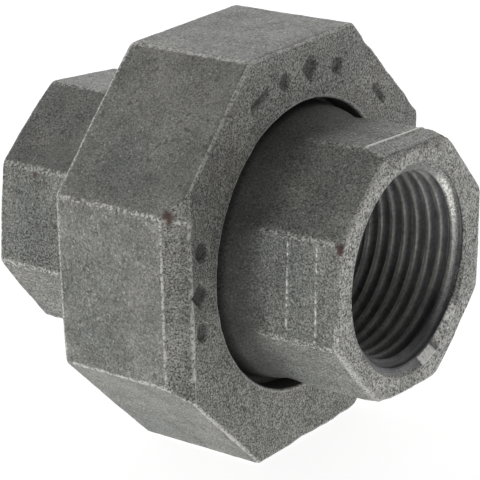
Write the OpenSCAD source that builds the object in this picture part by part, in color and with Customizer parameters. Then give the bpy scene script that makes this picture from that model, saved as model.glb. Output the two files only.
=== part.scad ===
// Ground-joint pipe union for 1 inch taper pipe thread, malleable iron with a brass seat.
// The pipe run lies along X: the tail piece end faces +X, the thread piece end faces -X.

/* [Run] */
// Overall length from end face to end face
run_len = 66.6; // [62:0.2:76]

/* [Nut] */
// Across flats of the octagonal nut
nut_af = 66; // [64:0.5:76]
// Length of the nut along the run
nut_w = 23.2; // [22.4:0.2:26]
// Distance from the middle of the run to the nut's near face
nut_near = 13.5; // [13.1:0.1:14.5]
// Diameter of the opening that the tail piece passes through
nut_opening = 46.9; // [46.4:0.1:47.6]
// Size of the bevel along one flat at the near face
nut_bevel = 3.1; // [0.5:0.1:3.5]

/* [Ends] */
// Across flats of the tail piece's octagonal end
tail_af = 40; // [39:0.5:42]
// Turn of the tail piece's flats against the nut's flats, in degrees
tail_turn = -3.5; // [-22:0.1:22]
// Across flats of the thread piece's octagonal end
thread_end_af = 40.4; // [39:0.1:43]
// Turn of the thread piece's flats against the nut's flats, in degrees
thread_turn = -6.7; // [-22:0.1:22]
// How far the thread piece's cast outside sits off its bore, toward +Y
cast_shift_y = 0.3; // [-1:0.1:1]
// How far the thread piece's cast outside sits off its bore, toward +Z
cast_shift_z = 0.3; // [-1:0.1:1]

/* [Pipe sockets] */
// Diameter of the countersink at each mouth, a little over the pipe's outside diameter
mouth_d = 33.8; // [33.5:0.1:35]
// Thread wall diameter in the sockets, the tap drill size for 1 inch taper thread
socket_d = 29.4; // [29:0.1:29.8]
// Length of thread in each socket, past the countersink
socket_len = 18; // [15:0.5:19]
// Diameter of the waterway between the sockets
waterway_d = 27; // [24:0.5:28]

/* [Union thread] */
// Pitch of the thread between the nut and the thread piece
pitch = 2.54; // [2.4:0.02:2.8]
// Outside diameter of the thread piece's male thread
male_d = 53; // [52.8:0.1:53.2]
// Depth of the male thread
thread_depth = 1.2; // [0.9:0.1:1.3]
// Play between the two threads, measured on the radius
thread_play = 0.3; // [0.25:0.05:0.4]

/* [Seat] */
// Radius of the ball on the tail piece's nose
ball_r = 24.4; // [24.3:0.05:24.6]
// Outside diameter of the brass seat ring
seat_d = 38; // [37.4:0.1:39]
// Length of the brass seat ring behind its front face
seat_len = 6; // [4:0.5:9]
// Gap left between the ball and its seat
seat_gap = 0.02; // [0.01:0.01:0.05]

/* [Hidden] */
$fn = 96;

half = run_len / 2;
// union thread
male_root_r = male_d / 2 - thread_depth;
female_r = male_d / 2 + thread_play;
female_crest_r = male_root_r + thread_play;
flank = tan(30);
crest_w = pitch / 8;
female_base_w = pitch * 0.925;
female_crest_w = pitch - (crest_w + 0.3 + 2 * flank * (thread_depth - thread_play));
steps = 60;
// stations along the run
nut_far = nut_near - nut_w;
lip_in = nut_near - 4.5;
thread_in = 3.4;
flange_back = lip_in - 0.03;
flange_front = 4.5;
flange_r = female_crest_r - 0.4;
neck_r = nut_opening / 2 - 1.15;
collar_back = nut_far - 2.8;
iron_front = 2;
ball_x = 18;
socket_x = half - (mouth_d - socket_d) / 2;
socket_end = socket_x - socket_len;

// an octagonal prism along the run, from x0 to x1
module octagon(af, x0, x1, turn = 0) {
    translate([x0, 0, 0]) rotate([0, 90, 0]) rotate([0, 0, 22.5 + turn])
        cylinder(r = af / 2 / cos(22.5), h = x1 - x0, $fn = 8);
}

// a round solid along the run, from a list of [radius, x] points
module turned(points) {
    rotate([0, 90, 0]) rotate_extrude() polygon(points);
}

// A ridge wound on the right-hand helix through x = phase at angle 0.
// in_r is the buried radius, out_r the crest's; w_in and w_out are its widths there.
// It rises out of the wall over the first and last eighth of a turn.
module ridge(x0, x1, in_r, out_r, w_in, w_out, phase) {
    a0 = 360 * (x0 - phase) / pitch;
    n = floor((x1 - x0) / pitch * steps);
    fade = steps / 8;
    function lift(i) = min(1, i / fade, (n - i) / fade);
    function sect(i) =
        let (a = a0 + 360 * i / steps,
             x = phase + pitch * a / 360,
             r = in_r + (out_r - in_r) * max(0.1, lift(i)),
             w = w_in + (w_out - w_in) * max(0.1, lift(i)))
        [[x - w_in / 2, in_r, a], [x - w / 2, r, a], [x + w / 2, r, a], [x + w_in / 2, in_r, a]];
    pts = [for (i = [0:n]) for (p = sect(i)) [p[0], p[1] * cos(p[2]), p[1] * sin(p[2])]];
    flip = out_r > in_r;
    sides = [for (i = [0:n - 1]) for (k = [0:3])
        let (a = 4 * i + k, b = 4 * i + (k + 1) % 4)
        each flip ? [[a, b, b + 4], [a, b + 4, a + 4]] : [[a, b + 4, b], [a, a + 4, b + 4]]];
    e = 4 * n;
    ends = flip ? [[2, 1, 0], [3, 2, 0], [e, e + 1, e + 2], [e, e + 2, e + 3]]
                : [[0, 1, 2], [0, 2, 3], [e + 2, e + 1, e], [e + 3, e + 2, e]];
    polyhedron(points = pts, faces = concat(sides, ends), convexity = 10);
}

// countersunk pipe socket and waterway, cut from the +X end
module socket_cut(to_x) {
    turned([[0, half + 1], [mouth_d / 2 + 1, half + 1], [mouth_d / 2, half],
            [socket_d / 2, socket_x], [socket_d / 2, socket_end],
            [waterway_d / 2, socket_end - (socket_d - waterway_d) / 2],
            [waterway_d / 2, to_x], [0, to_x]]);
}

// Octagonal end with the male union thread and the pocket for the seat ring
module thread_piece() {
    color([0.36, 0.36, 0.34])
    union() {
        difference() {
            union() {
                translate([0, cast_shift_y, cast_shift_z]) octagon(thread_end_af, -half, collar_back + 1, thread_turn);
                turned([[0, -21], [19.2, -21], [20.6, -18], [22.6, -15.4],
                        [male_root_r - 1.2, collar_back - 0.9], [male_root_r, collar_back + 0.4],
                        [male_root_r, iron_front - 0.9], [male_root_r - 0.9, iron_front], [0, iron_front]]);
            }
            mirror([1, 0, 0]) socket_cut(iron_front - 20);
            turned([[0, -20], [waterway_d / 2, -20], [waterway_d / 2, iron_front - seat_len],
                    [seat_d / 2, iron_front - seat_len], [seat_d / 2, iron_front + 1], [0, iron_front + 1]]);
        }
        ridge(collar_back + 1.6, iron_front - 1.4, male_root_r - 0.25, male_d / 2,
              crest_w + 2 * flank * (thread_depth + 0.25), crest_w, 0);
    }
}

// Brass ring set in the thread piece, with a ground seat for the ball
module brass_seat() {
    color([0.71, 0.55, 0.26])
    difference() {
        turned([[waterway_d / 2, iron_front - seat_len], [seat_d / 2, iron_front - seat_len],
                [seat_d / 2, iron_front], [waterway_d / 2, iron_front]]);
        translate([ball_x, 0, 0]) sphere(r = ball_r + seat_gap);
    }
}

// Octagonal end that passes through the nut, with a flange that the nut's lip draws on
module tail_piece() {
    color([0.40, 0.40, 0.38])
    difference() {
        union() {
            octagon(tail_af, flange_back - 1, half, tail_turn);
            turned([[0, flange_front], [flange_r - 0.6, flange_front], [flange_r, flange_front + 0.6],
                    [flange_r, flange_back], [neck_r, flange_back], [neck_r - 0.3, 11], [neck_r - 0.6, 13.5],
                    [21.2, 16], [20.4, 18.5], [19.2, 21.5], [0, 21.5]]);
            intersection() {
                turned([[0, 0], [22, 0], [22, flange_front + 0.5], [0, flange_front + 0.5]]);
                translate([ball_x, 0, 0]) sphere(r = ball_r);
            }
        }
        socket_cut(-1);
    }
}

// Octagonal nut: a lip at +X, the union thread inside
module union_nut() {
    color([0.44, 0.44, 0.42])
    union() {
        difference() {
            octagon(nut_af, nut_far, nut_near);
            turned([[0, nut_far - 1], [female_r + 1, nut_far - 1], [female_r, nut_far],
                    [female_r, lip_in], [nut_opening / 2, lip_in],
                    [nut_opening / 2, nut_near - 0.8], [nut_opening / 2 + 1.8, nut_near + 1],
                    [0, nut_near + 1]]);
            translate([nut_near, -nut_af / 2, 0]) rotate([0, 0, 45])
                cube([nut_bevel * sqrt(2), nut_bevel * sqrt(2), nut_af], center = true);
        }
        ridge(nut_far + 1.3, thread_in, female_r + 0.25, female_crest_r,
              female_base_w, female_crest_w, pitch / 2);
    }
}

thread_piece();
brass_seat();
tail_piece();
union_nut();
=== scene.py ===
import math

import bpy
import numpy as np
from mathutils import Matrix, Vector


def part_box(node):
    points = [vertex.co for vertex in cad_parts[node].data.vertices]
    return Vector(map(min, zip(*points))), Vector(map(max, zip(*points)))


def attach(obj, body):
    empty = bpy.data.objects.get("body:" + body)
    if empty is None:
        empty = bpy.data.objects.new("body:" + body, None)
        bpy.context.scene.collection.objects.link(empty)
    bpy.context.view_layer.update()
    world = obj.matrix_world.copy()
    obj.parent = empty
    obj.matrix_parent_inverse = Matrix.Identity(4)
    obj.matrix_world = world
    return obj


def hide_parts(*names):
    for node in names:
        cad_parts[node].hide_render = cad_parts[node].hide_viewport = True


# Ground-joint pipe union: the looks. Lengths below are millimetres in the row frame, and meshes are written in metres.
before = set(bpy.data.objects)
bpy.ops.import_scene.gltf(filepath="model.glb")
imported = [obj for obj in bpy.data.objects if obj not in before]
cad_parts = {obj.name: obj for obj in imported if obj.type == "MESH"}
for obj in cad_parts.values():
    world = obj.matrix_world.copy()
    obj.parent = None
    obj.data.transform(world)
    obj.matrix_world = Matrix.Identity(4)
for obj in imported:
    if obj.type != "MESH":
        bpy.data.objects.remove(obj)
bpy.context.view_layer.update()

MM = 0.001
PI = math.pi


def box_mm(node):
    lo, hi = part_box(node)
    return np.array(lo) / MM, np.array(hi) / MM


NUT_LO, NUT_HI = box_mm("union_nut")
TAIL_LO, TAIL_HI = box_mm("tail_piece")
END_LO, END_HI = box_mm("thread_piece")
NUT_FAR, NUT_NEAR = NUT_LO[0], NUT_HI[0]
NUT_A = (NUT_HI[1] - NUT_LO[1]) / 2
RUN = TAIL_HI[0]
TAIL_A, TAIL_TURN = 20.0, math.radians(-3.5)
END_A, END_TURN = 20.2, math.radians(-6.7)
END_SHIFT = (0.3, 0.3)
MOUTH_R, WATER_R = 16.75, 13.5
OPEN_R = 23.45
LIP_IN = NUT_NEAR - 4.5
NPT_P, NPT_DEPTH, NPT_MINOR = 2.209, 1.3, 14.85
UP, MALE_R, MALE_ROOT, FEM_R, FEM_CREST = 2.54, 26.5, 25.3, 26.8, 25.6

# ---------------------------------------------------------------- noise
_rng = np.random.default_rng(7)
_G = _rng.normal(size=(512, 3))
_G /= np.linalg.norm(_G, axis=1)[:, None]
_G = _G.astype(np.float32)


def gnoise(p, size, seed=0):
    """Smooth noise in about -1..1 with features of the given size, in mm."""
    q = (p / size + seed * 17.31).astype(np.float32)
    i = np.floor(q).astype(np.int64)
    f = q - i
    w = f * f * f * (f * (f * 6 - 15) + 10)
    out = np.zeros(p.shape[:-1], np.float32)
    for dx in (0, 1):
        for dy in (0, 1):
            for dz in (0, 1):
                h = (i[..., 0] + dx) * 73856093 ^ (i[..., 1] + dy) * 19349663 ^ (i[..., 2] + dz) * 83492791
                g = _G[(h ^ (h >> 13)) & 511]
                d = (f[..., 0] - dx) * g[..., 0] + (f[..., 1] - dy) * g[..., 1] + (f[..., 2] - dz) * g[..., 2]
                k = (w[..., 0] if dx else 1 - w[..., 0]) * (w[..., 1] if dy else 1 - w[..., 1]) * (w[..., 2] if dz else 1 - w[..., 2])
                out += k * d
    return out * 1.6


def smooth01(t):
    t = np.clip(t, 0, 1)
    return t * t * (3 - 2 * t)


def smax(a, b, k):
    h = np.clip(k - np.abs(a - b), 0, None) / k
    return np.maximum(a, b) + h * h * k / 4


def smin(a, b, k):
    return -smax(-a, -b, k)


# ---------------------------------------------------------------- sections
def octagon(phi, a, rc):
    """Radius of an octagon of apothem a with corners rounded to rc, at angle phi from a flat's middle."""
    t = np.abs((phi + PI / 8) % (PI / 4) - PI / 8)
    dc = (a - rc) / math.cos(PI / 8)
    psi = PI / 8 - t
    s = dc * np.sin(psi)
    arc = dc * np.cos(psi) + np.sqrt(np.maximum(rc * rc - s * s, 0))
    return np.where(t < np.arctan((a - rc) * math.tan(PI / 8) / a), a / np.cos(t), arc)


def angles(a, rc, flat_step, corner_n):
    """Angles around an octagon: even steps along each flat, and more of them round each corner."""
    half = (a - rc) * math.tan(PI / 8)
    n = max(4, int(round(2 * half / flat_step)))
    flat = np.arctan(np.linspace(-half, half, n + 1) / a)
    c = np.linspace(flat[-1], PI / 4 - flat[-1], corner_n + 1)[1:-1]
    one = np.r_[flat, c]
    return np.concatenate([one + k * PI / 4 for k in range(8)])


CAST, THREAD, BRIGHT = 0, 1, 2


class Rows:
    """Closed loop of rings. Each ring has x and radius at every angle, the cast roughness it gets, and its material."""

    def __init__(self, phi, turn, rc):
        self.phi, self.turn, self.rc = phi, turn, rc
        self.x, self.r, self.cast, self.mat, self.off, self.wear, self.corner = [], [], [], [], [], [], []

    def ring(self, x, r, cast, mat, off=0.0, wear=0.5, corner=0.0):
        n = len(self.phi)
        self.x.append(np.broadcast_to(x, n).astype(float))
        self.r.append(np.broadcast_to(r, n).astype(float))
        self.cast.append(float(cast))
        self.mat.append(mat)
        self.off.append(float(off))
        self.wear.append(np.broadcast_to(wear, n).astype(float))
        self.corner.append(float(corner))

    def section(self, a, k):
        if k <= 0:
            return np.full(len(self.phi), a)
        o = octagon(self.phi, a, self.rc)
        return o * k + a * (1 - k)

    def path(self, verts, shape=None, last=True):
        """verts: (x, a, k, fillet, step, cast, mat, off). a is the apothem of an octagon where k is 1 and a radius where k is 0."""
        pts = []
        n = len(verts)
        P = [np.array(v[:3], float) for v in verts]
        cut = []
        for i in range(n):
            fr = verts[i][3]
            if fr <= 0 or i in (0, n - 1):
                cut.append(None)
                continue
            d0, d1 = P[i - 1][:2] - P[i][:2], P[i + 1][:2] - P[i][:2]
            l0, l1 = np.linalg.norm(d0), np.linalg.norm(d1)
            d0, d1 = d0 / l0, d1 / l1
            ang = math.acos(max(-1, min(1, float(d0 @ d1))))
            t = min(fr / math.tan(ang / 2), 0.49 * l0, 0.49 * l1)
            cut.append((t, t * math.tan(ang / 2), d0, d1, ang, t / l0, t / l1))
        for i in range(n - 1):
            t0 = cut[i][6] if cut[i] else 0.0
            t1 = 1 - cut[i + 1][5] if cut[i + 1] else 1.0
            L = np.linalg.norm(P[i + 1][:2] - P[i][:2]) * (t1 - t0)
            m = max(1, int(round(L / verts[i][4])))
            a, b = verts[i], verts[i + 1]
            for j in range(m + 1):
                if j == m and (cut[i + 1] is None) and (i < n - 2):
                    continue
                if j == 0 and cut[i] is not None:
                    continue
                t = t0 + (t1 - t0) * j / m
                q = P[i] * (1 - t) + P[i + 1] * t
                pts.append((q, a[5] * (1 - t) + b[5] * t, a[6], a[7] * (1 - t) + b[7] * t))
            if cut[i + 1]:
                tl, fr, d0, d1, ang, f0, f1 = cut[i + 1]
                V = P[i + 1]
                s = V[:2] + d0 * tl
                e = V[:2] + d1 * tl
                bis = (d0 + d1) / np.linalg.norm(d0 + d1)
                c = V[:2] + bis * (fr / math.sin(ang / 2))
                m2 = max(2, int(round(fr * (PI - ang) / max(0.12, verts[i][4] * 0.6))))
                a0 = math.atan2(*(s - c)[::-1])
                a1 = math.atan2(*(e - c)[::-1])
                da = (a1 - a0 + PI) % (2 * PI) - PI
                k0 = P[i][2] * f0 + V[2] * (1 - f0)
                k1 = V[2] * (1 - f1) + P[i + 2][2] * f1
                for j in range(1, m2 + 1):
                    u = j / m2
                    an = a0 + da * u
                    q = np.r_[c + fr * np.array([math.cos(an), math.sin(an)]), k0 * (1 - u) + k1 * u]
                    pts.append((q, b[5], verts[i + 1][6] if u > 0.5 else a[6], b[7]))
        if not last:
            pts = pts[:-1]
        for q, cast, mat, off in pts:
            r = self.section(q[1], q[2])
            if shape is not None:
                r = shape(q[0], r)
            self.ring(q[0], r, cast, mat, off, corner=q[2])

    def arrays(self):
        return np.array(self.x), np.array(self.r), np.array(self.cast), np.array(self.off)

    def corners(self, a):
        """1 along the middle of each rounded corner, 0 on the flats."""
        t = np.abs((self.phi + PI / 8) % (PI / 4) - PI / 8)
        t0 = math.atan((a - self.rc) * math.tan(PI / 8) / a)
        return smooth01(1.5 * (t - t0) / (PI / 8 - t0)) * np.array(self.corner)[:, None]


def taper_thread(rows, x_mouth, way, x_end, theta, phase, mouth, step=NPT_P / 18):
    """Rings down a socket: countersink, taper thread on the right-hand helix, run-out into the waterway.
    way is +1 for a socket whose mouth faces +X. The rings run inward from the mouth."""
    depth_total = abs(x_mouth - x_end)
    n = int(round(depth_total / step))
    for j in range(n + 1):
        d = depth_total * j / n
        x = x_mouth - way * d
        cone = mouth - d
        u = ((x - phase) / NPT_P - theta / (2 * PI)) % 1.0
        u = np.abs(u - 0.5) * NPT_P  # distance from the groove's middle
        g = np.clip((NPT_P / 2 - 0.2 - u) / (NPT_P / 2 - 0.2 - 0.1), 0, 1)
        g = g - 0.07 * np.sin(g * 2 * PI)  # eases the crest and the root
        fade = smooth01((depth_total - 1.2 - d) / 3.4)
        minor = NPT_MINOR - d / 32
        r = minor + NPT_DEPTH * g * fade
        run_in = WATER_R + (minor - WATER_R) * smooth01((depth_total - d) / 1.6)
        r = np.minimum(r, np.maximum(run_in + NPT_DEPTH * g * fade, WATER_R))
        # painted crest light: crests take the lighter thread colour as a painted highlight and the hollows the darker
        # one as painted shade; the countersink is painted lighter too
        crest = (1 - g * fade) * (d > 0.02)
        if d < 5:
            cut = smooth01((cone - r + 0.05) / 0.1)
            crest = np.maximum(crest * (1 - cut), 0.75 * cut)
            r = smax(r, cone + 0 * r, 0.12)
        rows.ring(x, r, 0.0, THREAD, wear=crest)


# ---------------------------------------------------------------- mesh
def grid_mesh(name, rows, apothem=20.0, relief=None, shift=(0.0, 0.0), grain=1.0, seed=0, masks=None):
    """Builds one closed mesh from the rings, with cast relief along the normal, and edge, tooth and rust masks on its points."""
    X, R, C, off = rows.arrays()
    th = rows.phi + rows.turn
    Y = R * np.cos(th) + off[:, None] * shift[0]
    Z = R * np.sin(th) + off[:, None] * shift[1]
    P = np.stack([X, Y, Z], -1)

    def normals(Q):
        dt = np.roll(Q, -1, 1) - np.roll(Q, 1, 1)
        dr = np.roll(Q, -1, 0) - np.roll(Q, 1, 0)
        n = np.cross(dt, dr)
        return n / np.maximum(np.linalg.norm(n, axis=-1, keepdims=True), 1e-12)

    N = normals(P)
    # the sign of the enclosed volume tells which way is out
    vol = np.sum(np.einsum("ijk,ijk->ij", P, np.cross(np.roll(P, -1, 1) - P, np.roll(P, -1, 0) - P)))
    sign = 1.0 if vol > 0 else -1.0
    N *= sign

    # how sharply the surface turns from ring to ring, per mm, counted where it is convex
    dn = np.roll(N, -1, 0) - np.roll(N, 1, 0)
    dp = np.roll(P, -1, 0) - np.roll(P, 1, 0)
    bend = np.einsum("ijk,ijk->ij", dn, dp) / np.maximum(np.einsum("ijk,ijk->ij", dp, dp), 1e-9)
    edge = np.maximum(smooth01((bend - 0.45) / 0.55), rows.corners(apothem)) * (C[:, None] > 0)

    disp = np.zeros(X.shape)
    extra = masks(P, rows.phi) if masks is not None else {}
    tooth = np.broadcast_to(extra.get("tooth", 0.5), X.shape)
    edge = edge * extra.get("keep", 1.0)
    if relief is not None:
        disp = disp + relief(P, rows.phi)
    cast = C[:, None] * grain
    disp += cast * (
        0.10 * gnoise(P, 13.0, seed + 1)
        + 0.045 * gnoise(P, 4.3, seed + 2)
        + (0.008 + 0.022 * tooth) * gnoise(P, 1.9, seed + 3)
        + (0.004 + 0.020 * tooth) * gnoise(P, 1.0, seed + 4)
        + 0.05 * edge * gnoise(P, 1.6, seed + 8)
    )
    # a few shallow sand pits and raised grains
    pits = gnoise(P, 1.3, seed + 5)
    disp -= cast * (0.03 + 0.06 * tooth) * smooth01((pits - 0.52) / 0.3)
    bumps = gnoise(P, 1.2, seed + 6)
    disp += cast * (0.02 + 0.04 * tooth) * smooth01((bumps - 0.52) / 0.3)
    Q = P + N * disp[..., None]

    nr, nc = X.shape
    me = bpy.data.meshes.new(name)
    co = (Q.reshape(-1, 3) * MM).astype(np.float32)
    i, j = np.meshgrid(np.arange(nr), np.arange(nc), indexing="ij")
    a = i * nc + j
    b = i * nc + (j + 1) % nc
    c = ((i + 1) % nr) * nc + (j + 1) % nc
    d = ((i + 1) % nr) * nc + j
    quads = np.stack([a, b, c, d] if sign > 0 else [a, d, c, b], -1).reshape(-1, 4)
    me.vertices.add(nr * nc)
    me.vertices.foreach_set("co", co.ravel())
    me.loops.add(quads.size)
    me.loops.foreach_set("vertex_index", quads.ravel().astype(np.int32))
    me.polygons.add(len(quads))
    me.polygons.foreach_set("loop_start", np.arange(0, quads.size, 4, dtype=np.int32))
    me.polygons.foreach_set("loop_total", np.full(len(quads), 4, np.int32))
    me.polygons.foreach_set("use_smooth", np.ones(len(quads), bool))
    mats = np.repeat(np.array(rows.mat, np.int32), nc)
    me.polygons.foreach_set("material_index", mats)
    me.update(calc_edges=True)
    me.validate()

    def put(key, v):
        at = me.attributes.new(key, "FLOAT", "POINT")
        at.data.foreach_set("value", np.ascontiguousarray(np.broadcast_to(v, X.shape), np.float32).ravel())

    put("edge", edge)
    # painted crest light and shade of the threads, dimmed further where shade is painted on the bore's lower side
    put("wear", np.array(rows.wear) * extra.get("painted_thread_dimming", 1.0))
    put("tooth", tooth)
    # rust is real rust; the second key holds painted highlights, shade holds painted shade, and the last key holds
    # rubbed wear together with painted light
    for key in ("rust", "painted_highlight", "shade", "rub_and_painted_light"):
        put(key, extra.get(key, 0.0))
    ob = bpy.data.objects.new(name, me)
    bpy.context.scene.collection.objects.link(ob)
    return ob


def around(a, b):
    """How far the angle a lies from b, in degrees."""
    return np.abs((a - b + 180) % 360 - 180)


def spots(P, where, seed=0):
    out = np.zeros(P.shape[:-1])
    for x, y, z, r in where:
        d = np.linalg.norm(P - np.array([x, y, z]), axis=-1) / r
        out = np.maximum(out, smooth01(1.45 - d + 0.4 * gnoise(P, 0.9, 31 + seed)))
    return out


# ---------------------------------------------------------------- materials
class Nodes:
    """Short names for building a node tree."""

    def __init__(self, name):
        self.m = bpy.data.materials.new(name)
        self.m.use_nodes = True
        self.nt = self.m.node_tree
        self.nt.nodes.clear()
        out = self.new("ShaderNodeOutputMaterial")
        self.bs = self.new("ShaderNodeBsdfPrincipled")
        self.link(self.bs.outputs[0], out.inputs[0])
        self.coords = self.new("ShaderNodeTexCoord").outputs["Object"]

    def new(self, kind):
        return self.nt.nodes.new(kind)

    def link(self, a, b):
        self.nt.links.new(a, b)

    def put(self, sock, v):
        if isinstance(v, (int, float)):
            sock.default_value = v
        elif isinstance(v, tuple):
            sock.default_value = (*v, 1) if len(v) == 3 and sock.type == "RGBA" else v
        else:
            self.link(v, sock)

    def noise(self, scale, detail=2.0, rough=0.5, vec=None, offset=0.0):
        v = self.new("ShaderNodeMapping")
        v.inputs["Location"].default_value = (offset, offset * 0.7, -offset)
        self.link(vec or self.coords, v.inputs["Vector"])
        n = self.new("ShaderNodeTexNoise")
        n.inputs["Scale"].default_value = scale
        n.inputs["Detail"].default_value = detail
        n.inputs["Roughness"].default_value = rough
        self.link(v.outputs[0], n.inputs["Vector"])
        return n.outputs["Fac"]

    def math(self, op, a, b=None, c=None, clamp=False):
        n = self.new("ShaderNodeMath")
        n.operation = op
        n.use_clamp = clamp
        for k, v in enumerate((a, b, c)):
            if v is not None:
                self.put(n.inputs[k], v)
        return n.outputs[0]

    def span(self, v, a, b, lo=0.0, hi=1.0):
        """v from a..b to lo..hi, eased and clamped."""
        n = self.new("ShaderNodeMapRange")
        n.interpolation_type = "SMOOTHSTEP"
        for k, q in zip(("Value", "From Min", "From Max", "To Min", "To Max"), (v, a, b, lo, hi)):
            self.put(n.inputs[k], q)
        return n.outputs[0]

    def mix(self, fac, a, b, blend="MIX"):
        n = self.new("ShaderNodeMix")
        n.data_type = "RGBA"
        n.blend_type = blend
        for sock, v in ((n.inputs[0], fac), (n.inputs[6], a), (n.inputs[7], b)):
            self.put(sock, v)
        return n.outputs[2]

    def scale(self, col, v):
        """A colour times a number."""
        n = self.new("ShaderNodeVectorMath")
        n.operation = "SCALE"
        self.link(col, n.inputs[0])
        self.put(n.inputs["Scale"], v)
        return n.outputs[0]

    def attr(self, key):
        n = self.new("ShaderNodeAttribute")
        n.attribute_name = key
        return n.outputs["Fac"]

    def bump(self, height, strength, distance):
        n = self.new("ShaderNodeBump")
        self.put(n.inputs["Strength"], strength)
        n.inputs["Distance"].default_value = distance
        self.link(height, n.inputs["Height"])
        self.link(n.outputs[0], self.bs.inputs["Normal"])


def cast_iron(name, tone=1.0, seed=0.0, rough=0.6, hue=(1.0, 1.0, 0.945)):
    """Sand-cast iron: mottled grey skin, fine grain that gets coarser with "tooth", rubbed edges also painted lighter
    as a highlight, painted highlights, painted shade, and rubbed patches with painted light.
    """
    k = Nodes(name)
    tooth = k.attr("tooth")
    broad = k.noise(60, 3, 0.55, offset=seed)
    patch = k.noise(230, 3, 0.6, offset=seed + 3)
    grain = k.noise(3500, 2.5, 0.62, offset=seed)
    grain2 = k.noise(2000, 1.5, 0.5, offset=seed + 5)
    a = BASE * tone
    col = k.mix(k.span(broad, 0.34, 0.66), (a * 0.855 * hue[0], a * 0.887 * hue[1], a * 0.868 * hue[2]),
                (a * 1.105 * hue[0], a * 1.10 * hue[1], a * 1.06 * hue[2]))
    f = k.math("MULTIPLY_ADD", k.math("SUBTRACT", patch, 0.5), 1.15, 1.0)
    f = k.math("MULTIPLY", f, k.math("MULTIPLY_ADD", k.math("SUBTRACT", grain, 0.5),
                                    k.math("MULTIPLY_ADD", tooth, GRAIN_ROUGH, GRAIN_FLAT), 1.0))
    f = k.math("MULTIPLY", f, k.math("MULTIPLY_ADD", k.math("SUBTRACT", grain2, 0.5), k.math("MULTIPLY", tooth, 1.1), 1.0))
    f = k.math("MAXIMUM", f, 0.15)
    col = k.scale(col, f)
    # scattered pale grains and dark pits
    pale = k.span(k.noise(2500, 0.8, offset=seed + 7), 0.66, 0.73)
    col = k.mix(k.math("MULTIPLY", pale, 0.7), col, (a * 2.3, a * 2.3, a * 2.15))
    pit = k.span(k.noise(1050, 0.5, offset=seed + 9), 0.325, 0.265)
    col = k.mix(k.math("MULTIPLY", pit, 0.6), col, (a * 0.35, a * 0.34, a * 0.32))
    # rubbed edges, broken up; their lighter colour is partly wear and partly a painted highlight
    broken = k.span(k.noise(2300, 3, 0.65, offset=seed + 11), 0.42, 0.61, 0.0, 1.0)
    e = k.attr("edge")
    edge = k.span(k.math("ADD", e, k.math("MULTIPLY", k.math("SUBTRACT", broken, 0.72), k.math("MINIMUM", k.math("MULTIPLY", e, 3.0), 0.9))), 0.22, 0.85, 0.0, 0.95)
    col = k.mix(edge, col, (0.62, 0.61, 0.575))
    # rubbed patches, partly real wear and partly painted light that lightens whole faces or one side of them
    rub_and_painted_light = k.math("MULTIPLY", k.attr("rub_and_painted_light"), k.span(grain, 0.35, 0.6, 0.3, 1.0))
    light_patch_grain = k.math("MAXIMUM", k.math("MULTIPLY_ADD", k.math("SUBTRACT", grain, 0.5), 3.3, 1.0), 0.35)
    col = k.mix(rub_and_painted_light, col, k.scale(k.mix(0.0, (0.47, 0.465, 0.44), (1.0, 1.0, 1.0)), light_patch_grain))
    # painted highlight: flash lines and ridges painted bright, up to brighter than white
    painted_highlight = k.attr("painted_highlight")
    dots = k.span(k.noise(1700, 1.0, offset=seed + 15), 0.42, 0.57, 0.1, 1.0)
    glint = k.scale(k.mix(0.0, (0.66, 0.65, 0.62), (1.0, 1.0, 1.0)), k.math("MAXIMUM", painted_highlight, 1.0))
    col = k.mix(k.math("MULTIPLY", k.math("MULTIPLY", painted_highlight, 0.95), k.math("MAXIMUM", dots, k.math("SUBTRACT", painted_highlight, 1.2)), clamp=True), col, glint)
    # painted shade: darkens hollows, the gap beside the nut and faces turned from the light
    col = k.mix(k.math("MULTIPLY", k.attr("shade"), 0.8, clamp=True), col, (0.030, 0.030, 0.030))
    col = k.mix(k.math("MULTIPLY", k.attr("rust"), 0.92, clamp=True), col,
                k.mix(grain2, (0.050, 0.021, 0.015), (0.100, 0.046, 0.034)))
    k.put(k.bs.inputs["Base Color"], col)
    k.put(k.bs.inputs["Roughness"], k.span(grain, 0.3, 0.7, min(1.0, rough + 0.14), rough - 0.08))
    k.bs.inputs["Metallic"].default_value = 0.1
    h = k.math("ADD", k.noise(2700, 3, 0.65, offset=seed + 13), k.math("MULTIPLY", grain2, 0.6))
    k.bump(h, k.math("MULTIPLY_ADD", tooth, 0.9, 0.15), 0.00016)
    return k.m


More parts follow.
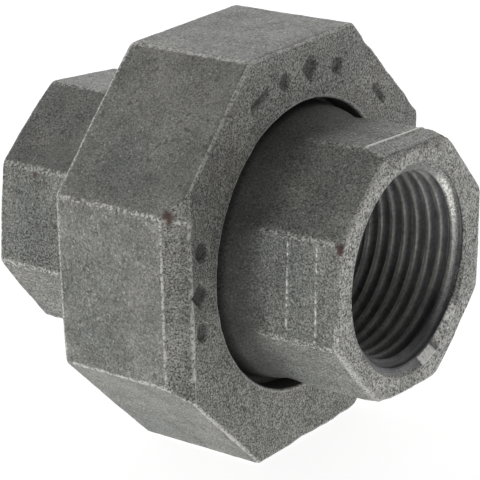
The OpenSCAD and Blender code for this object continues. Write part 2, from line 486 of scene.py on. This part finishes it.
def machined(name, lo, hi, rough, line_scale, bump=0.00003, metallic=0.9, root=None):
    """Cut metal: fine tool lines round the axis and a slight stain. With root, the hollows of the thread are painted
    darker as shade and the crests lighter as highlight.
    """
    k = Nodes(name)
    sp = k.new("ShaderNodeSeparateXYZ")
    k.link(k.coords, sp.inputs[0])
    rad = k.math("SQRT", k.math("ADD", k.math("MULTIPLY", sp.outputs[1], sp.outputs[1]), k.math("MULTIPLY", sp.outputs[2], sp.outputs[2])))
    cb = k.new("ShaderNodeCombineXYZ")
    k.link(k.math("MULTIPLY", sp.outputs[0], line_scale), cb.inputs[0])
    k.link(k.math("MULTIPLY", rad, line_scale), cb.inputs[1])
    lines = k.noise(1.0, 2.0, vec=cb.outputs[0])
    stain = k.noise(260, 4.0, 0.55)
    fine = k.noise(1700, 2.0, 0.6)
    f = k.math("ADD", k.math("MULTIPLY", lines, 0.45), k.math("MULTIPLY", stain, 0.55))
    col = k.mix(k.span(f, 0.36, 0.66), lo, hi)
    if root is not None:
        # painted shade in the thread's hollows and painted highlight on its crests
        wear = k.attr("wear")
        w = k.span(k.math("ADD", wear, k.math("MULTIPLY", k.math("SUBTRACT", fine, 0.5), 0.5)), 0.42, 1.0)
        col = k.mix(w, k.mix(k.span(f, 0.36, 0.66), root, tuple(1.7 * c for c in root)), col)
        col = k.scale(col, k.math("MULTIPLY_ADD", k.math("SUBTRACT", fine, 0.5), 1.1, 1.0))
        skin = k.noise(3400, 2.5, 0.6, offset=4.0)
        cast = k.scale(k.mix(0.0, (0.27, 0.27, 0.255), (1.0, 1.0, 1.0)), k.math("MAXIMUM", k.math("MULTIPLY_ADD", k.math("SUBTRACT", skin, 0.5), 6.0, 1.0), 0.2))
        col = k.mix(k.attr("rub_and_painted_light"), col, cast)
        # painted shade inside the bore
        col = k.mix(k.math("MULTIPLY", k.attr("shade"), 0.8, clamp=True), col, (0.030, 0.030, 0.032))
        # painted highlight: bright patches on the countersink and thread, up to brighter than white
        painted_highlight = k.attr("painted_highlight")
        shine = k.math("MULTIPLY", k.math("MAXIMUM", k.math("MULTIPLY_ADD", k.math("SUBTRACT", skin, 0.5), 3.6, 1.0), 0.35), k.math("MAXIMUM", painted_highlight, 1.0))
        col = k.mix(k.math("MULTIPLY", painted_highlight, 0.9, clamp=True), col, k.scale(k.mix(0.0, (0.66, 0.652, 0.615), (1.0, 1.0, 1.0)), shine))
    k.put(k.bs.inputs["Base Color"], col)
    k.put(k.bs.inputs["Roughness"], k.span(f, 0.3, 0.7, rough + 0.12, rough - 0.06))
    k.bs.inputs["Metallic"].default_value = metallic
    k.bump(lines if root is None else k.math("ADD", lines, k.math("MULTIPLY", fine, 0.6)), 0.6, bump)
    return k.m


BASE, GRAIN_FLAT, GRAIN_ROUGH = 0.212, 2.3, 4.2
thread_mat = machined("cut_thread", (0.24, 0.24, 0.23), (0.38, 0.38, 0.36), 0.44, 3800, bump=0.00005, metallic=0.4,
                      root=(0.178, 0.180, 0.186))
bright_mat = machined("turned_iron", (0.36, 0.36, 0.35), (0.60, 0.60, 0.58), 0.30, 6000, bump=0.00005)
brass_mat = machined("turned_brass", (0.46, 0.28, 0.085), (0.72, 0.50, 0.19), 0.26, 5000)


def dress(ob, mats):
    for m in mats:
        ob.data.materials.append(m)


# ---------------------------------------------------------------- tail piece
def neck_r(x):
    return np.interp(x, [8.9, 11.0, 13.5, 16.0, 18.5, 21.5, 34.0], [22.3, 22.0, 21.6, 21.0, 20.6, 20.2, 20.0])


def build_tail():
    rc = 2.4
    phi = angles(TAIL_A, rc, 0.36, 9)
    rows = Rows(phi, TAIL_TURN, rc)
    back = LIP_IN - 0.03
    th = phi + TAIL_TURN
    n = len(phi)
    # ball nose, flange
    ball = [(18 - math.sqrt(24.4 ** 2 - r * r), r) for r in np.linspace(16.55, 20.1, 15)]
    v = [(0.6, WATER_R, 0, 0, 0.3, 0, BRIGHT, 0), (0.02, WATER_R + 0.6, 0, 0.1, 0.4, 0, BRIGHT, 0)]
    v += [(x, r, 0, 0, 0.4, 0, BRIGHT, 0) for x, r in ball]
    v += [(4.5, 20.4, 0, 0.2, 0.5, 0, BRIGHT, 0), (4.5, 24.6, 0, 0, 0.3, 0, BRIGHT, 0),
          (5.1, 25.2, 0, 0, 0.5, 0, BRIGHT, 0), (back, 25.2, 0, 0.25, 0.5, 0, CAST, 0),
          (back, 22.3, 0, 0.3, 0.4, 0, CAST, 0.2)]
    rows.path(v, last=False)
    # neck and shank: the octagon swells into the round neck; the cast outside sits a little off the bore
    x0, x1 = back, RUN


    def blend(x, r):
        b = smooth01((20.8 - x) / 8.0)
        high = 0.65 * smooth01((np.sin(th) - 0.25) / 0.6) * smooth01((17.5 - x) / 3.0) * smooth01((x - 8.9) / 0.8)
        return r * (1 - b) + (neck_r(x) + high) * b

    stations = [(x0, 0.33), (23.2, 0.12), (24.2, 0.33), (28.3, 0.11), (29.7, 0.2), (x1 - 0.9, 0.16)]
    rows.path([(x, TAIL_A, 1, 0, st, 1, CAST, 0) for x, st in stations], shape=blend, last=False)
    # the countersink is cut unevenly: wide at the bottom, narrow toward +Y
    mouth = np.interp(np.degrees(np.angle(np.exp(1j * th))), [-180, -138, -118, -100, -80, -66, -50, -30, -12, 5, 24, 38, 50, 78, 150, 180],
                      [17.0, 16.9, 17.15, 17.35, 17.45, 17.45, 17.0, 16.35, 15.95, 15.85, 15.9, 16.35, 16.75, 16.85, 17.0, 17.0])
    rows.path([(x1 - 0.9, TAIL_A, 1, 0, 0.16, 1, CAST, 0), (x1, TAIL_A, 1, 0.55, 0.25, 1, CAST, 0), (x1, 18.6, 0, 0, 0.2, 0.8, CAST, 0)], last=False)
    for t in np.linspace(0, 1, 9)[:-1]:
        rows.ring(x1, 18.6 * (1 - t) + (mouth + 0.1) * t, 0.8 - 0.4 * t, CAST)
    rows.ring(x1, mouth + 0.1, 0.2, CAST)
    taper_thread(rows, x1, 1, 11.6, th, 0.25, mouth)
    rows.path([(11.4, WATER_R, 0, 0, 0.6, 0.15, THREAD, 0), (0.8, WATER_R, 0, 0, 0.5, 0.1, THREAD, 0)])

    turn = TAIL_TURN

    def near_flat(P, k):
        """Distance along and across the flat numbered k (0 is the one at +Y before the turn)."""
        a = turn + k * PI / 4
        y, z = P[..., 1], P[..., 2]
        return y * math.cos(a) + z * math.sin(a), -y * math.sin(a) + z * math.cos(a)

    def lines(P):
        # thin flash lines across the flat that faces -Y, and one on the top flat
        nrm, tan = near_flat(P, 4)
        on = smooth01((nrm - 19.2) / 0.5) * smooth01((7.9 - np.abs(tan)) / 0.6)
        wob = 0.12 * gnoise(P, 5.0, 41)
        dots = smooth01(0.95 + 2.0 * gnoise(P, 0.8, 42))
        l1 = np.exp(-((P[..., 0] - 23.7 - wob) / 0.17) ** 2)
        l2 = np.exp(-((P[..., 0] - 28.9 - wob) / 0.17) ** 2)
        side = on * dots * np.maximum(l1, l2)
        nrm, tan = near_flat(P, 2)
        on = smooth01((nrm - 19.2) / 0.5) * smooth01((8.3 - np.abs(tan)) / 0.4)
        top = on * np.exp(-((P[..., 0] - 29.2 - 0.3 * wob) / 0.26) ** 2)
        ledge = on * smooth01((P[..., 0] - 29.2) / 0.25)
        return side, top, ledge

    def outer(P):
        return (np.hypot(P[..., 1], P[..., 2]) > 18.8) & (P[..., 0] > 14)

    def relief(P, phi_):
        side, top, ledge = lines(P)
        nrm, tan = near_flat(P, 2)
        on_top = smooth01((nrm - 18.6) / 0.8)
        end = smooth01((P[..., 0] - 30.2) / 3.0)
        d = 0.10 * side + 0.24 * top - 0.16 * ledge - 0.34 * on_top * end
        # corners worn back toward the end face
        a = np.arctan2(P[..., 2], P[..., 1])
        for at, deep in ((0.375, 0.2), (0.625, 0.3), (-0.375, 0.05), (-0.625, 0.35)):
            s = np.angle(np.exp(1j * (a - turn - PI * at))) * 21.0
            d = d - deep * end * np.exp(-(s / 2.6) ** 2)
        pit = np.linalg.norm(P - np.array([32.6, -19.8, 2.3]), axis=-1)
        d = d - 0.3 * smooth01(1.3 - pit / 0.55)
        return d * outer(P)

    def masks(P, phi_):
        side, top, ledge = lines(P)
        r = np.hypot(P[..., 1], P[..., 2])
        face = smooth01((P[..., 0] - (x1 - 0.5)) / 0.4)
        outside = (r > 18.8) & (P[..., 0] > 8)
        # painted shade on the neck and the flange's back in the gap by the nut
        neck = smooth01((21.8 - P[..., 0]) / 7.2) * outside
        a = np.degrees(np.arctan2(P[..., 2], P[..., 1]))
        deep = x1 - P[..., 0]
        bore = (r < mouth + 0.02) & (P[..., 0] > 2)
        # painted highlight: a bright patch on the countersink at its lower right
        patch = 1.95 * smooth01((7.0 - np.abs(a + 73.5)) / 0.8) * smooth01((1.15 - deep) / 0.15)
        # painted shade over the lower side of the thread
        under = 0.88 * smooth01((62 - around(a, -88)) / 16) * smooth01((deep - 1.0) / 0.4) * smooth01((5.5 - deep) / 2.0)
        q = deep - (2.12 - 0.3516 * np.radians(a))  # from the middle of the first crest
        # painted highlight along the first crest
        gleam = np.interp(a, [-60, -40, -10, 8, 22, 40, 48, 55], [0, 0.2, 0.45, 0.8, 1.35, 1.5, 0.9, 0])
        gleam = gleam * smooth01((q + 0.8) / 0.2 + 0.5 * gnoise(P, 0.6, 60)) * smooth01((0.3 - q) / 0.2) * smooth01(1.0 + 1.1 * gnoise(P, 0.7, 54))
        # the countersink broke through the skin only in part: rough on the right and at the top, and along its lower lip
        skin = smooth01((88 - np.abs(a - 40)) / 12) * smooth01((1.5 - deep) / 0.3 + 0.5 * gnoise(P, 1.0, 57)) * (1 - smooth01(gleam))
        skin = np.maximum(skin, smooth01((34 - np.abs(a + 112)) / 10) * smooth01((0.75 - deep) / 0.45 + 0.6 * gnoise(P, 1.1, 58)))
        # scratches on the countersink, painted brighter than the iron as a highlight
        scratch_highlight = 1.8 * smooth01((16 - np.abs(a + 51)) / 7) * smooth01((1.2 - deep) / 0.3) * smooth01(0.85 + 1.5 * gnoise(P * np.array([1.0, 3.0, 3.0]), 1.6, 55))
        # painted shade: the thread's lower side is dimmed
        painted_low_dimming = 1 - 0.6 * smooth01((66 - around(a, -90)) / 16) * smooth01((4.6 - deep) / 1.5)
        # painted shadow: a dark line just outside the countersink
        ring = np.exp(-((r - mouth - 0.35) / 0.3) ** 2) * face * (np.abs(a - 10) > 40)
        left = smooth01((19.3 - P[..., 0]) / 3.0)
        calm = smooth01((23 - around(a, 131.5)) / 4)
        low = smooth01((32 - around(a, -143)) / 8)
        rimband = np.maximum(smooth01((near_flat(P, 5)[0] - 18.9) / 0.6), smooth01((near_flat(P, 4)[0] - 19.4) / 0.4)) * smooth01((1.3 - deep) / 0.5)
        crest = smooth01((24 - around(a, math.degrees(turn) + 90)) / 3) * np.exp(-((deep - 0.2) / 0.28) ** 2) * smooth01(0.9 + gnoise(P, 1.5, 59))
        # painted highlights in the bore and along the flash lines, and painted shade dimming the thread's lower side
        return {"painted_highlight": np.where(bore, np.maximum(np.maximum(patch, gleam), scratch_highlight),
                                  (1.5 * side + 2.1 * top) * outer(P) + 0.2 * scratch_highlight * face * (r < 18.6)),
                "painted_thread_dimming": np.where(bore, painted_low_dimming, 1.0),
                "tooth": np.clip(0.55 + 0.6 * face - 0.2 * left - 0.2 * calm * (1 - face) + 0.12 * gnoise(P, 9.0, 51), 0, 1.25),
                "keep": (0.8 - (0.3 + 0.5 * left) * smooth01((deep - 1.2) / 1.0)) * (1 - 0.85 * (around(a, 176) < 26) * smooth01((1.6 - deep) / 0.3)),
                # rubbed wear, and painted light: the end face is painted lighter, more toward its upper side; the strip
                # past the top flash line is lighter
                "rub_and_painted_light": np.where(bore, skin, ((0.75 + 0.4 * smooth01(0.4 + gnoise(P, 6.0, 52)) + 0.3 * smooth01((70 - around(a, 110)) / 30)) * face * (1 - low * rimband) + 1.15 * low * rimband) * smooth01(0.9 + 0.8 * gnoise(P, 1.2, 56)) + 0.45 * ledge * outer(P)),
                # painted shade on the bore's lower side, the neck by the nut and outside the countersink; also a darker
                # line along the end face's top edge
                "shade": np.where(bore, under, 0.0) + (1 - bore) * np.maximum(np.maximum(0.95 * neck, 0.4 * ring * smooth01(0.3 + gnoise(P, 3.0, 53))), 0.6 * crest * outer(P)),
                "rust": spots(P, [(33.0, -19.45, 9.25, 0.75), (33.0, -19.5, 8.6, 0.6), (33.3, 11.4, 12.4, 0.4), (33.3, 14.2, 8.2, 0.35)], 2)}

    ob = grid_mesh("tail_piece_casting", rows, TAIL_A, relief, (0, 0), 1.0, 10, masks)
    dress(ob, [cast_iron("tail_cast_iron", TONE_TAIL, 0.37), thread_mat, bright_mat])
    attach(ob, "tail_end")
    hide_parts("tail_piece")
    return ob


# ---------------------------------------------------------------- thread piece
def build_end():
    rc = 2.3
    phi = angles(END_A, rc, 0.38, 9)
    rows = Rows(phi, END_TURN, rc)
    th = phi + END_TURN
    n = len(phi)
    collar = NUT_FAR - 2.8
    front = 2.0

    def shoulder(x):
        return np.interp(x, [-34, -24, -21, -18, -15.4, collar - 0.9, collar + 0.4], [15, 18, 19.2, 20.6, 22.6, MALE_ROOT - 1.2, MALE_ROOT])

    blend = lambda x, r: smax(r, np.full(n, shoulder(x)), 1.6)
    x0 = -RUN
    rows.path([(x0, MOUTH_R, 0, 0, 0.15, 0, CAST, 0), (x0, MOUTH_R + 0.35, 0, 0, 0.25, 0.2, CAST, 0),
               (x0, END_A, 1, 0.7, 0.16, 1, CAST, 1), (x0 + 0.9, END_A, 1, 0, 0.3, 1, CAST, 1)], last=False)
    rows.path([(x0 + 0.9, END_A, 1, 0, 0.36, 1, CAST, 1), (-18.0, END_A, 1, 0, 0.36, 1, CAST, 1), (collar + 0.2, END_A, 1, 0, 0.3, 0.3, CAST, 0)],
              shape=blend, last=False)
    # male thread
    xs = np.arange(collar + 0.4, front - 0.9, UP / 15)
    for x in xs:
        c = (x / UP - th / (2 * PI) + 0.5) % 1.0 - 0.5
        xc = x - c * UP
        lift = smooth01((xc - (collar + 1.4)) / (UP / 4)) * smooth01((front - 1.2 - xc) / (UP / 4))
        d = np.abs(c) * UP
        g = np.clip(1 - (d - UP / 16) / ((MALE_R - MALE_ROOT) * math.tan(PI / 6)), 0, 1)
        g = g - 0.05 * np.sin(g * 2 * PI)
        rows.ring(x, MALE_ROOT + (MALE_R - MALE_ROOT) * g * lift, 0, BRIGHT)
    rows.path([(front - 0.9, MALE_ROOT, 0, 0, 0.3, 0, BRIGHT, 0), (front, MALE_ROOT - 0.9, 0, 0.15, 0.5, 0, BRIGHT, 0),
               (front, 19.3, 0, 0, 0.2, 0, BRIGHT, 0), (front - 0.3, 19.0, 0, 0, 0.6, 0, BRIGHT, 0),
               (front - 6, 19.0, 0, 0, 0.6, 0, BRIGHT, 0), (front - 6, WATER_R, 0, 0, 0.6, 0.1, THREAD, 0),
               (-11.4, WATER_R, 0, 0, 0.6, 0.15, THREAD, 0)], last=True)
    # socket rings run inward from the mouth, so they are added in reverse here
    sock = Rows(phi, END_TURN, rc)
    taper_thread(sock, x0, -1, -11.6, th, 0.3, np.full(n, MOUTH_R))
    for k in reversed(range(1, len(sock.x))):
        rows.ring(sock.x[k], sock.r[k], 0, sock.mat[k - 1], wear=sock.wear[k])

    def masks(P, phi_):
        a = np.degrees(np.arctan2(P[..., 2] - END_SHIFT[1], P[..., 1] - END_SHIFT[0]))
        calm = smooth01((23.5 - around(a, 128.3)) / 3)
        return {"rust": spots(P, [(-26, -18.9, 9.9, 0.5)], 4),
                # painted shade on the upper-left and top flats
                "shade": 0.27 * calm + 0.17 * smooth01((23.5 - around(a, 83.3)) / 3),
                "tooth": np.clip(0.55 + 0.4 * gnoise(P, 11.0, 61) - 0.35 * calm, 0, 1),
                "keep": 0.6,
                "rub_and_painted_light": 0.3 * smooth01(0.2 + 1.2 * gnoise(P, 5.0, 62)) * rows.corners(END_A)}

    def relief(P, phi_):
        # traces of the mould's parting line along two corners
        r = np.hypot(P[..., 1], P[..., 2])
        a = np.arctan2(P[..., 2], P[..., 1])
        d = 0
        for at in (PI * 0.75 - 0.33, -PI * 0.75 + 0.28):
            s = np.angle(np.exp(1j * (a - at))) * r
            d = d + 0.2 * np.exp(-(s / 0.45) ** 2) * smooth01(0.6 + gnoise(P, 6.0, 63))
        return d * (r > 19.5) * smooth01((-14 - P[..., 0]) / 3) * (P[..., 0] > x0 + 0.2)

    ob = grid_mesh("thread_piece_casting", rows, END_A, relief, END_SHIFT, 1.25, 20, masks)
    dress(ob, [cast_iron("thread_piece_cast_iron", TONE_END, 1.1), thread_mat, bright_mat])
    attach(ob, "thread_end")
    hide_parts("thread_piece")
    return ob


# ---------------------------------------------------------------- nut
def build_nut():
    rc = 1.5
    phi = angles(NUT_A, rc, 0.38, 9)
    rows = Rows(phi, 0.0, rc)
    n = len(phi)
    th = phi
    ang = np.angle(np.exp(1j * (phi - PI)))  # from the flat that faces -Y
    bev, fil, lip = 3.1, 0.5, 0.6
    octo = octagon(phi, NUT_A, rc)

    def outside(x):
        """Radius of the nut's outside at x, with the bevel along the flat that faces -Y."""
        lim = NUT_A + NUT_NEAR - bev - x
        plane = np.where(np.cos(ang) > 0.2, lim / np.maximum(np.cos(ang), 0.2), 1e3)
        return smin(octo, plane, 0.22)

    rows.path([(NUT_FAR, FEM_R + 1.0, 0, 0, 0.4, 0.5, CAST, 0), (NUT_FAR, NUT_A, 1, 0.6, 0.38, 1, CAST, 0),
               (NUT_NEAR - 4.0, NUT_A, 1, 0, 0.3, 1, CAST, 0)], last=True)
    for x in np.arange(NUT_NEAR - 3.8, NUT_NEAR - fil, 0.19):
        rows.ring(x, outside(x), 1, CAST, corner=1)
    for u in np.linspace(0, PI / 2, 7):
        x = NUT_NEAR - fil + fil * math.sin(u)
        rows.ring(x, outside(x) - fil * (1 - math.cos(u)), 1, CAST, corner=math.cos(u) ** 0.5)
    r0 = outside(NUT_NEAR) - fil
    for t in np.linspace(0, 1, 33)[1:]:
        rows.ring(NUT_NEAR, r0 * (1 - t) + (OPEN_R + lip) * t, 1, CAST)
    for u in np.linspace(0, PI / 2, 9)[1:]:
        rows.ring(NUT_NEAR - lip + lip * math.cos(u), OPEN_R + lip - lip * math.sin(u), 1, CAST)
    rows.path([(NUT_NEAR - lip - 0.4, OPEN_R, 0, 0, 0.45, 0.8, CAST, 0),
               (LIP_IN, OPEN_R, 0, 0.2, 0.5, 0, CAST, 0), (LIP_IN, FEM_R, 0, 0.3, 0.5, 0, BRIGHT, 0),
               (3.6, FEM_R, 0, 0, 0.4, 0, BRIGHT, 0)], last=True)
    xs = np.arange(3.5, NUT_FAR + 0.95, -UP / 15)
    w0, w1 = 0.925 * UP, UP - (UP / 8 + 0.3 + 2 * math.tan(PI / 6) * (1.2 - 0.3))
    for x in xs:
        c = (x / UP - th / (2 * PI)) % 1.0 - 0.5
        xc = x - c * UP
        lift = smooth01((xc - (NUT_FAR + 1.2)) / (UP / 4)) * smooth01((3.3 - xc) / (UP / 4))
        d = np.abs(c) * UP
        half_base = 0.5 * (w0 - 0.25 / 1.45 * (w0 - w1))
        g = np.clip((half_base - d) / (half_base - w1 / 2), 0, 1)
        g = g - 0.05 * np.sin(g * 2 * PI)
        rows.ring(x, FEM_R - (FEM_R - FEM_CREST) * g * lift, 0, BRIGHT)
    rows.path([(NUT_FAR + 0.9, FEM_R, 0, 0, 0.4, 0, BRIGHT, 0), (NUT_FAR + 0.15, FEM_R + 0.75, 0, 0, 0.4, 0.2, CAST, 0)], last=True)

    # recessed casting marks on the near face: (angle in degrees, radius, shape, size)
    marks = [(113.2, 28.9, "dash", 2.5), (100.1, 28.3, "dot", 1.35), (86.5, 28.6, "diamond", 1.9),
             (71.5, 28.6, "dot", 1.35), (43.1, 28.9, "dash", 2.2),
             (165.1, 27.9, "dot", 1.45), (179.0, 27.7, "diamond", 1.8), (-168.5, 27.9, "dot", 1.45)]

    def near_face(P):
        return (P[..., 0] > NUT_NEAR - 0.12) & (np.hypot(P[..., 1], P[..., 2]) > OPEN_R + 1)

    def hollows(P):
        d = np.zeros(P.shape[:-1])
        for a, rr, kind, s in marks:
            a = math.radians(a)
            e_r = P[..., 1] * math.cos(a) + P[..., 2] * math.sin(a) - rr
            e_t = -P[..., 1] * math.sin(a) + P[..., 2] * math.cos(a)
            if kind == "dot":
                q = np.hypot(e_r, e_t) - s
            elif kind == "diamond":
                q = (np.abs(e_r) + np.abs(e_t)) * 0.75 - s * 0.85
            else:
                q = np.maximum(np.abs(e_r) - 0.65, np.abs(e_t) - s)
            d = np.maximum(d, smooth01((0.2 - q) / 0.45))
        return d * near_face(P)

    def relief(P, phi_):
        out = -0.6 * hollows(P)
        # a small burr on the upper right corner, and a rough lower right edge where the moulds met
        burr = np.linalg.norm((P - np.array([7.5, 17.5, 32.0])) / np.array([7.0, 1.3, 1.3]), axis=-1)
        out = out + 0.5 * smooth01(1.3 - burr)
        low = np.linalg.norm((P - np.array([9.0, 8.0, -33.0])) / np.array([7.0, 9.0, 1.6]), axis=-1)
        out = out + 0.45 * smooth01(1.2 - low) * (0.3 + gnoise(P, 2.0, 77))
        rim = smooth01((P[..., 0] - NUT_NEAR + 1.3) / 1.0) * (np.hypot(P[..., 1], P[..., 2]) > 30.5)
        out = out + rim * (0.22 * gnoise(P, 3.2, 78) - 0.1)
        return out

    def masks(P, phi_):
        h = hollows(P)
        bevel = smooth01((P[..., 0] - P[..., 1] - (NUT_NEAR + NUT_A - bev) + 0.15) / 0.1) * (P[..., 0] < NUT_NEAR - 0.1)
        r = np.hypot(P[..., 1], P[..., 2])
        face = smooth01((P[..., 0] - NUT_NEAR + 0.35) / 0.3) * (r > OPEN_R)
        an = np.degrees(np.arctan2(P[..., 2], P[..., 1]))
        inside = smooth01((OPEN_R + 0.6 - r) / 0.3) * smooth01((NUT_NEAR - 0.1 - P[..., 0]) / 0.4)
        rim = h * (1 - h) * 4
        # painted highlight along the ridge at the bevel's edge
        ridge = smooth01(1.5 - np.hypot(P[..., 0] - NUT_NEAR + 0.12, P[..., 1] + NUT_A - bev - 0.12) / 0.34) * smooth01((13.2 - np.abs(P[..., 2])) / 1.0)
        ridge = ridge * smooth01(1.0 + 1.3 * gnoise(P, 0.9, 79))
        return {"painted_highlight": 0.9 * ridge,
                "rust": spots(P, [(11.3, -32.1, 13.85, 0.85), (11.4, -32.0, 13.2, 0.6), (-7.1, -13.4, 33.0, 0.4), (-4.7, -33.0, 13.8, 0.35),
                                  (7.2, -32.6, -16.5, 0.4), (8.5, -21.9, -24.8, 0.4), (12.4, -21.0, -25.6, 0.35), (12.0, -19.1, -27.5, 0.3)], 6),
                "tooth": np.clip(0.12 + 0.75 * face + 0.5 * bevel + 0.12 * gnoise(P, 10.0, 71), 0, 1.2),
                "keep": 1.0 - 0.3 * (1 - face) * smooth01((9 - around(an, 157.5)) / 2) - 0.8 * smooth01(1.5 - np.linalg.norm((P - np.array([12.2, -31.6, -13.0])) / np.array([1.7, 1.7, 1.0]), axis=-1)),
                # rubbed wear on the bevel and the marks' rims, and painted light: the near face is painted lighter,
                # more toward its upper right
                "rub_and_painted_light": np.clip(0.35 * rim + 0.25 * smooth01(0.1 + 1.3 * gnoise(P, 7.0, 72)) * bevel
                               + 0.14 * face + 0.12 * face * smooth01((P[..., 1] + P[..., 2] + 6) / 22), 0, 1),
                # painted shade: the marks' hollows, the upper-left flat, the near face's left part beside the shank,
                # and the opening's inner wall
                "shade": np.clip(0.8 * h + 0.09 * (1 - face) * smooth01((22.5 - around(an, 135)) / 2) + 0.32 * face * smooth01((-P[..., 1] - 14) / 8) * smooth01((P[..., 2] + 6) / 10) + inside, 0, 1)}

    ob = grid_mesh("union_nut_casting", rows, NUT_A, relief, (0, 0), 0.9, 30, masks)
    dress(ob, [cast_iron("nut_cast_iron", TONE_NUT, 2.3), thread_mat, bright_mat])
    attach(ob, "nut")
    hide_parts("union_nut")
    return ob


# ---------------------------------------------------------------- brass seat
def build_seat():
    phi = np.linspace(0, 2 * PI, 193)[:-1]
    rows = Rows(phi, 0.0, 1.0)
    face = [(18 - math.sqrt(24.42 ** 2 - r * r), r) for r in np.linspace(18.36, WATER_R + 0.25, 12)]
    v = [(-3.985, WATER_R + 0.02, 0, 0, 0.5, 0, 0, 0), (-3.985, 18.7, 0, 0, 0.3, 0, 0, 0), (-3.7, 18.985, 0, 0, 0.5, 0, 0, 0),
         (1.8, 18.985, 0, 0, 0.2, 0, 0, 0), (2.0, 18.8, 0, 0, 0.2, 0, 0, 0)]
    v += [(x, r, 0, 0, 0.4, 0, 0, 0) for x, r in face]
    v += [(-2.0, WATER_R, 0, 0, 0.5, 0, 0, 0), (-3.9, WATER_R, 0, 0, 0.5, 0, 0, 0)]
    rows.path(v)
    ob = grid_mesh("brass_seat_ring", rows, seed=40)
    dress(ob, [brass_mat])
    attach(ob, "thread_end")
    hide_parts("brass_seat")
    return ob


TONE_TAIL, TONE_END, TONE_NUT = 1.03, 0.96, 1.0
build_tail()
build_end()
build_nut()
build_seat()

# ---------------------------------------------------------------- floor, light, camera
sc = bpy.context.scene
sc.view_settings.view_transform = "Standard"

fm = bpy.data.materials.new("pale_floor")
fm.use_nodes = True
fb = fm.node_tree.nodes["Principled BSDF"]
fb.inputs["Base Color"].default_value = (0.30, 0.30, 0.30, 1)
fb.inputs["Roughness"].default_value = 0.9
fb.inputs["Specular IOR Level"].default_value = 0.1
fb.inputs["Emission Color"].default_value = (1, 1, 1, 1)
fb.inputs["Emission Strength"].default_value = 0.88
me = bpy.data.meshes.new("floor")
S, z = 3.0, NUT_LO[2] * MM - 0.0001
me.from_pydata([(-S, -S, z), (S, -S, z), (S, S, z), (-S, S, z)], [], [(0, 1, 2, 3)])
me.materials.append(fm)
floor = bpy.data.objects.new("floor", me)
sc.collection.objects.link(floor)


# a soft studio: long softboxes low on the left and behind, a weaker ceiling, an open side toward the front right
w = bpy.data.worlds.new("studio")
sc.world = w
w.use_nodes = True
nt = w.node_tree
bg = nt.nodes["Background"]
bg.inputs[0].default_value = (1, 1, 1, 1)
sp = nt.nodes.new("ShaderNodeSeparateXYZ")
nt.links.new(nt.nodes.new("ShaderNodeTexCoord").outputs["Generated"], sp.inputs[0])
DX, DY, DZ = sp.outputs


def wm(op, a, b=None):
    n = nt.nodes.new("ShaderNodeMath")
    n.operation = op
    for k, v in enumerate((a, b)):
        if v is None:
            continue
        if isinstance(v, (int, float)):
            n.inputs[k].default_value = v
        else:
            nt.links.new(v, n.inputs[k])
    return n.outputs[0]


def rise(src, a, b):
    n = nt.nodes.new("ShaderNodeMapRange")
    n.interpolation_type = "SMOOTHSTEP"
    n.inputs["From Min"].default_value, n.inputs["From Max"].default_value = a, b
    nt.links.new(src, n.inputs["Value"])
    return n.outputs[0]


flat2 = wm("MAXIMUM", wm("SUBTRACT", 1.0, wm("MULTIPLY", DZ, DZ)), 1e-4)


def side(x, y):
    """Share of a direction that points toward the horizontal direction (x, y)."""
    d = wm("MAXIMUM", wm("ADD", wm("MULTIPLY", DX, x), wm("MULTIPLY", DY, y)), 0.0)
    return wm("DIVIDE", wm("MULTIPLY", d, d), flat2)


sides = [side(0.8124, 0.5831), side(-0.8124, -0.5831), side(0.5831, -0.8124), side(-0.5831, 0.8124)]


def ring_light(levels):
    total = None
    for q, level in zip(sides, levels):
        t = wm("MULTIPLY", q, level)
        total = t if total is None else wm("ADD", total, t)
    return total


above_low, ceiling = rise(DZ, 0.05, 0.30), rise(DZ, 0.60, 0.90)
low = wm("MULTIPLY", wm("SUBTRACT", 1.0, above_low), ring_light((0.40, 2.40, 0.35, 2.40)))
mid = wm("MULTIPLY", wm("SUBTRACT", above_low, ceiling), ring_light((0.15, 0.97, 0.10, 2.00)))
nt.links.new(wm("ADD", wm("ADD", low, mid), wm("MULTIPLY", ceiling, 0.20)), bg.inputs[1])

RIGHT = (0.8072975309, 0.5896131899, -0.0250396271)
UPV = (-0.1840325708, 0.2918373332, 0.9385962838)
FWD = (-0.5607162469, 0.7531183554, -0.3441075896)
LOC = (207.3634, -277.9860, 125.1548)
cd = bpy.data.cameras.new("camera")
cd.lens = 171.343
cd.sensor_width = 36.0
cd.clip_start = 0.01
cd.clip_end = 50
cam = bpy.data.objects.new("camera", cd)
cam.matrix_world = Matrix([(RIGHT[k], UPV[k], -FWD[k], LOC[k] * MM) for k in range(3)] + [(0, 0, 0, 1)])
sc.collection.objects.link(cam)
sc.camera = cam

bpy.context.view_layer.update()
